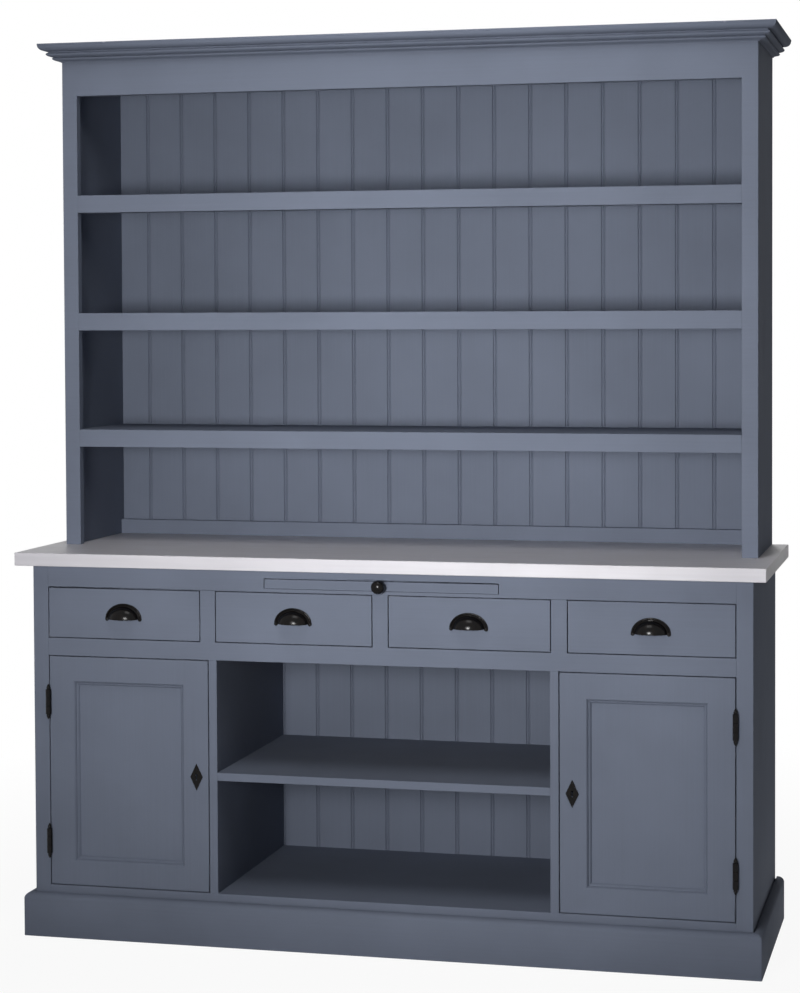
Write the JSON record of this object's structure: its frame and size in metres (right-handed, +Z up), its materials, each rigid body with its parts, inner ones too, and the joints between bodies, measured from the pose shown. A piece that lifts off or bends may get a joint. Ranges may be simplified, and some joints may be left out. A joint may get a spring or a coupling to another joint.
{
  "type": "kitchen dresser",
  "caption": "Painted kitchen dresser: open plate rack with cornice over a base with inset drawers, pull-out board, panelled doors and an open bay.",
  "frame": {"origin": "on the floor, in the middle of the box round the whole dresser", "axes": "+X to the right of someone facing the dresser, +Y to the wall behind it, +Z up"},
  "size_m": [1.845, 0.545, 2.203],
  "materials": {
    "blue_grey_paint": "blue-grey satin paint with pale worn arrises",
    "inside_paint": "blue-grey matt paint",
    "pale_worktop": "pale lavender-white paint",
    "bare_wood": "bare planed softwood",
    "black_iron": "black japanned iron",
    "lock_steel": "dull steel"
  },
  "bodies": {
    "cabinet": {"base_left_side": "blue_grey_paint", "base_right_side": "blue_grey_paint", "base_left_stile": "blue_grey_paint", "base_right_stile": "blue_grey_paint", "base_left_inner_stile": "blue_grey_paint", "base_right_inner_stile": "blue_grey_paint", "base_bottom_rail": "blue_grey_paint", "base_drawer_rail": "blue_grey_paint", "base_top_rail": "blue_grey_paint", "plinth": "blue_grey_paint", "hutch_left_side": "blue_grey_paint", "hutch_right_side": "blue_grey_paint", "hutch_face_frame": "blue_grey_paint", "cornice": "blue_grey_paint", "base_left_partition": "inside_paint", "base_right_partition": "inside_paint", "base_bottom_board": "inside_paint", "centre_bay_shelf": "inside_paint", "base_back_boards": "inside_paint", "hutch_top_board": "inside_paint", "hutch_bottom_shelf": "inside_paint", "hutch_middle_shelf": "inside_paint", "hutch_top_shelf": "inside_paint", "hutch_back_rail": "inside_paint", "hutch_back_boards": "inside_paint", "drawer_dust_board": "bare_wood", "upper_dust_board": "bare_wood", "worktop": "pale_worktop", "left_upper_hinge_fixed": "black_iron", "left_lower_hinge_fixed": "black_iron", "right_upper_hinge_fixed": "black_iron", "right_lower_hinge_fixed": "black_iron"},
    "drawer_1": {"drawer_1_front": "blue_grey_paint", "drawer_1_box": "bare_wood", "drawer_1_cup_pull": "black_iron"},
    "drawer_2": {"drawer_2_front": "blue_grey_paint", "drawer_2_box": "bare_wood", "drawer_2_cup_pull": "black_iron"},
    "drawer_3": {"drawer_3_front": "blue_grey_paint", "drawer_3_box": "bare_wood", "drawer_3_cup_pull": "black_iron"},
    "drawer_4": {"drawer_4_front": "blue_grey_paint", "drawer_4_box": "bare_wood", "drawer_4_cup_pull": "black_iron"},
    "sliding_board": {"pull_out_board": "blue_grey_paint", "pull_out_board_knob": "black_iron"},
    "left_door": {"left_door_frame": "blue_grey_paint", "left_door_panel": "blue_grey_paint", "left_door_escutcheon": "black_iron", "left_door_lock_case": "lock_steel", "left_upper_hinge_moving": "black_iron", "left_lower_hinge_moving": "black_iron"},
    "left_lock_bolt": {"left_door_lock_bolt": "lock_steel"},
    "right_door": {"right_door_frame": "blue_grey_paint", "right_door_panel": "blue_grey_paint", "right_door_escutcheon": "black_iron", "right_door_lock_case": "lock_steel", "right_upper_hinge_moving": "black_iron", "right_lower_hinge_moving": "black_iron"},
    "right_lock_bolt": {"right_door_lock_bolt": "lock_steel"}
  },
  "joints": [
    {"name": "drawer_1_slide", "type": "slide", "parent": "cabinet", "child": "drawer_1", "axis": [0, -1, 0], "range_m": [0, 0.33]},
    {"name": "drawer_2_slide", "type": "slide", "parent": "cabinet", "child": "drawer_2", "axis": [0, -1, 0], "range_m": [0, 0.33]},
    {"name": "drawer_3_slide", "type": "slide", "parent": "cabinet", "child": "drawer_3", "axis": [0, -1, 0], "range_m": [0, 0.33]},
    {"name": "drawer_4_slide", "type": "slide", "parent": "cabinet", "child": "drawer_4", "axis": [0, -1, 0], "range_m": [0, 0.33]},
    {"name": "board_slide", "type": "slide", "parent": "cabinet", "child": "sliding_board", "axis": [0, -1, 0], "range_m": [0, 0.3]},
    {"name": "left_door_hinge", "type": "hinge", "parent": "cabinet", "child": "left_door", "pos_m": [-0.84385, -0.2443, 0.40725], "axis": [0, 0, -1], "range_deg": [0, 110]},
    {"name": "left_lock_bolt_slide", "type": "slide", "parent": "left_door", "child": "left_lock_bolt", "axis": [1, 0, 0], "range_m": [0, 0.007]},
    {"name": "right_door_hinge", "type": "hinge", "parent": "cabinet", "child": "right_door", "pos_m": [0.84385, -0.2443, 0.40725], "axis": [0, 0, 1], "range_deg": [0, 110]},
    {"name": "right_lock_bolt_slide", "type": "slide", "parent": "right_door", "child": "right_lock_bolt", "axis": [-1, 0, 0], "range_m": [0, 0.007]}
  ]
}
